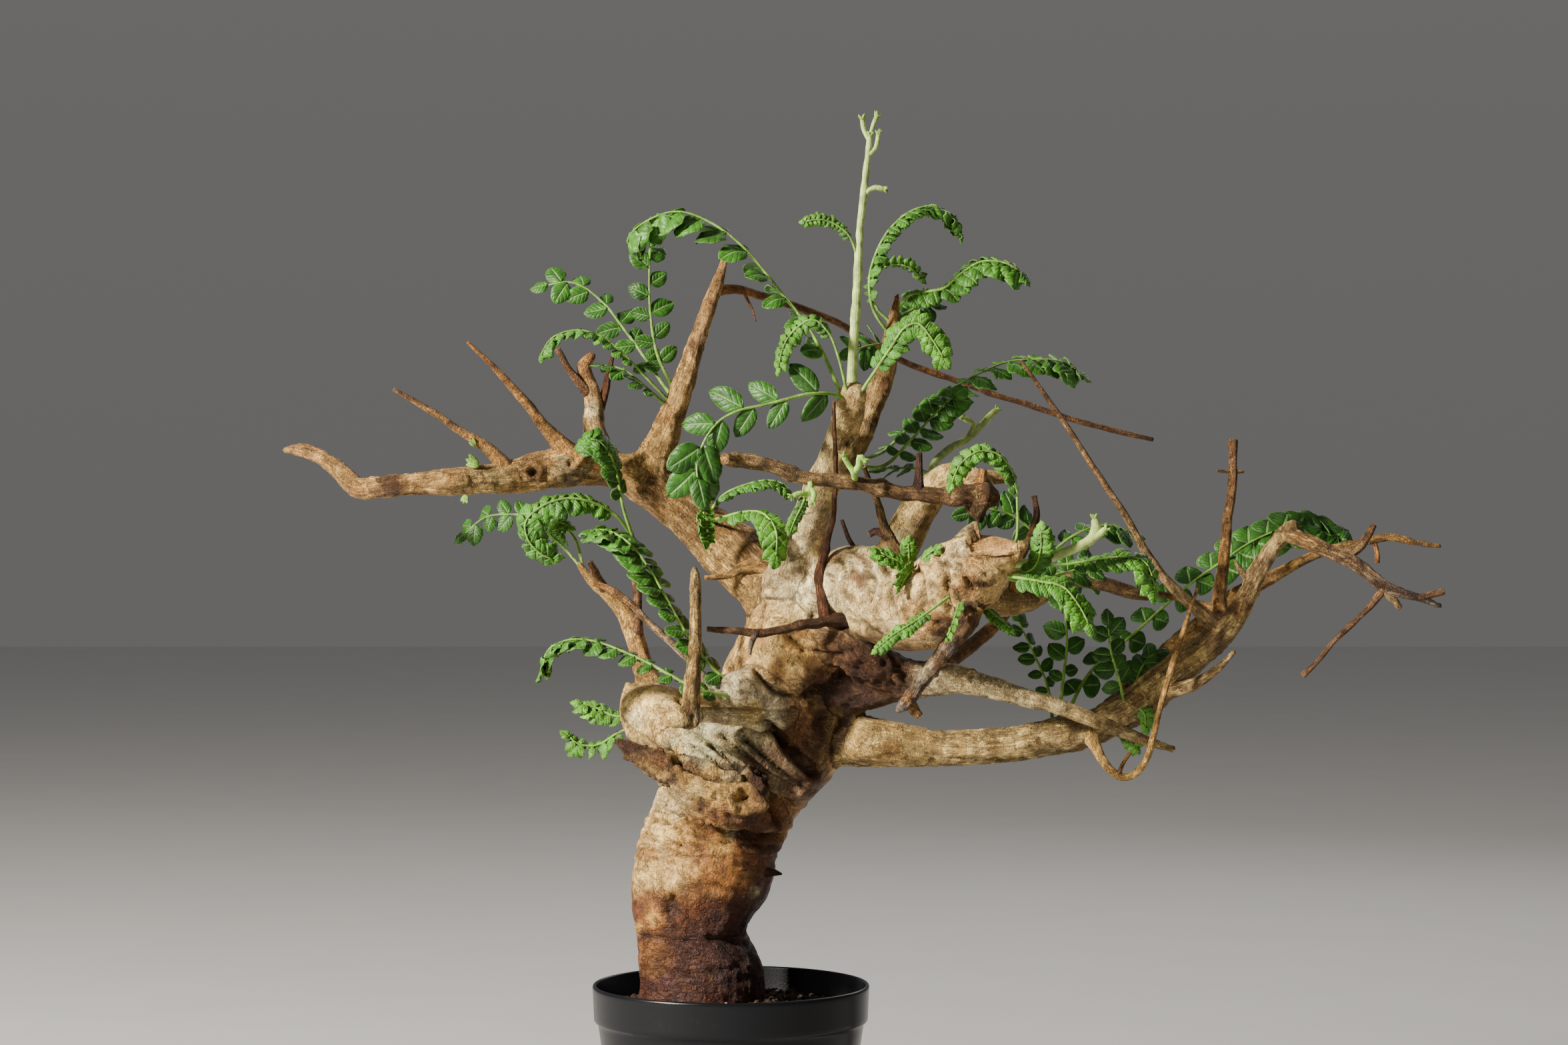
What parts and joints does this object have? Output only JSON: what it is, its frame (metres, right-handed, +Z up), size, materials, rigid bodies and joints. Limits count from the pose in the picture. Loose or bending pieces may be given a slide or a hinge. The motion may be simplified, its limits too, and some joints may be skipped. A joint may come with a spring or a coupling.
{
  "type": "boswellia neglecta bonsai",
  "caption": "Bonsai of Boswellia neglecta in a round nursery pot: swollen leaning trunk, spreading gnarled limbs, dead twigs and tufts of pinnate leaves.",
  "frame": {"origin": "centre of the pot's underside", "axes": "+Z up along the pot's axis; +X towards the longer limbs on the right in the front view; +Y away from the viewer, to the back of the tree"},
  "size_m": [0.4419, 0.1748, 0.419],
  "materials": {
    "pot_plastic": "satin black moulded plastic, slightly scuffed",
    "potting_soil": "dark crumbly potting mix with white perlite",
    "bark": "matt tan to grey bark, wrinkled and fissured, with dead wood",
    "leaf": "satin green with paler ribs and veins",
    "young_shoot": "soft pale green, finely hairy"
  },
  "bodies": {
    "root": {"pot": "pot_plastic", "soil": "potting_soil", "wood": "bark", "leaf_crown_arch": "leaf", "leaf_crown_curled": "leaf", "leaf_crown_front": "leaf", "leaf_crown_right": "leaf", "leaf_mast_arch": "leaf", "leaf_mast_young": "leaf", "leaf_mast_long": "leaf", "leaf_mast_low": "leaf", "leaf_mast_side": "leaf", "leaf_rear_long": "leaf", "leaf_rear_short": "leaf", "leaf_rear_low": "leaf", "leaf_gnarl_arch": "leaf", "leaf_head_left": "leaf", "leaf_head_left_low": "leaf", "leaf_head_left_high": "leaf", "leaf_head_left_right": "leaf", "leaf_head_low": "leaf", "leaf_head_tip": "leaf", "leaf_head_under": "leaf", "leaf_head_long": "leaf", "leaf_head_upright": "leaf", "leaf_head_droop": "leaf", "leaf_head_round": "leaf", "leaf_back_right": "leaf", "leaf_back_left": "leaf", "leaf_back_low": "leaf", "leaf_arm_left": "leaf", "leaf_arm_middle": "leaf", "leaf_arm_long": "leaf", "leaf_arm_tall": "leaf", "leaf_arm_short": "leaf", "leaf_arm_bud": "leaf", "leaf_arm_sprout": "leaf", "leaf_horn_tall": "leaf", "leaf_horn_long": "leaf", "leaf_horn_arch": "leaf", "leaf_horn_low": "leaf", "leaf_left_level": "leaf", "leaf_left_hanging": "leaf", "leaf_left_front": "leaf", "leaf_prong_low": "leaf", "leaf_prong_high": "leaf", "leaf_twig_arch": "leaf", "leaf_twig_upright": "leaf", "leaf_back_prong_curl": "leaf", "leaf_back_prong_dark": "leaf", "leaf_shoulder_high": "leaf", "leaf_shoulder_low": "leaf", "crown_shoot": "young_shoot", "rear_shoot": "young_shoot", "head_shoot": "young_shoot", "bar_shoot_low": "young_shoot", "bar_shoot_high": "young_shoot"}
  },
  "joints": []
}
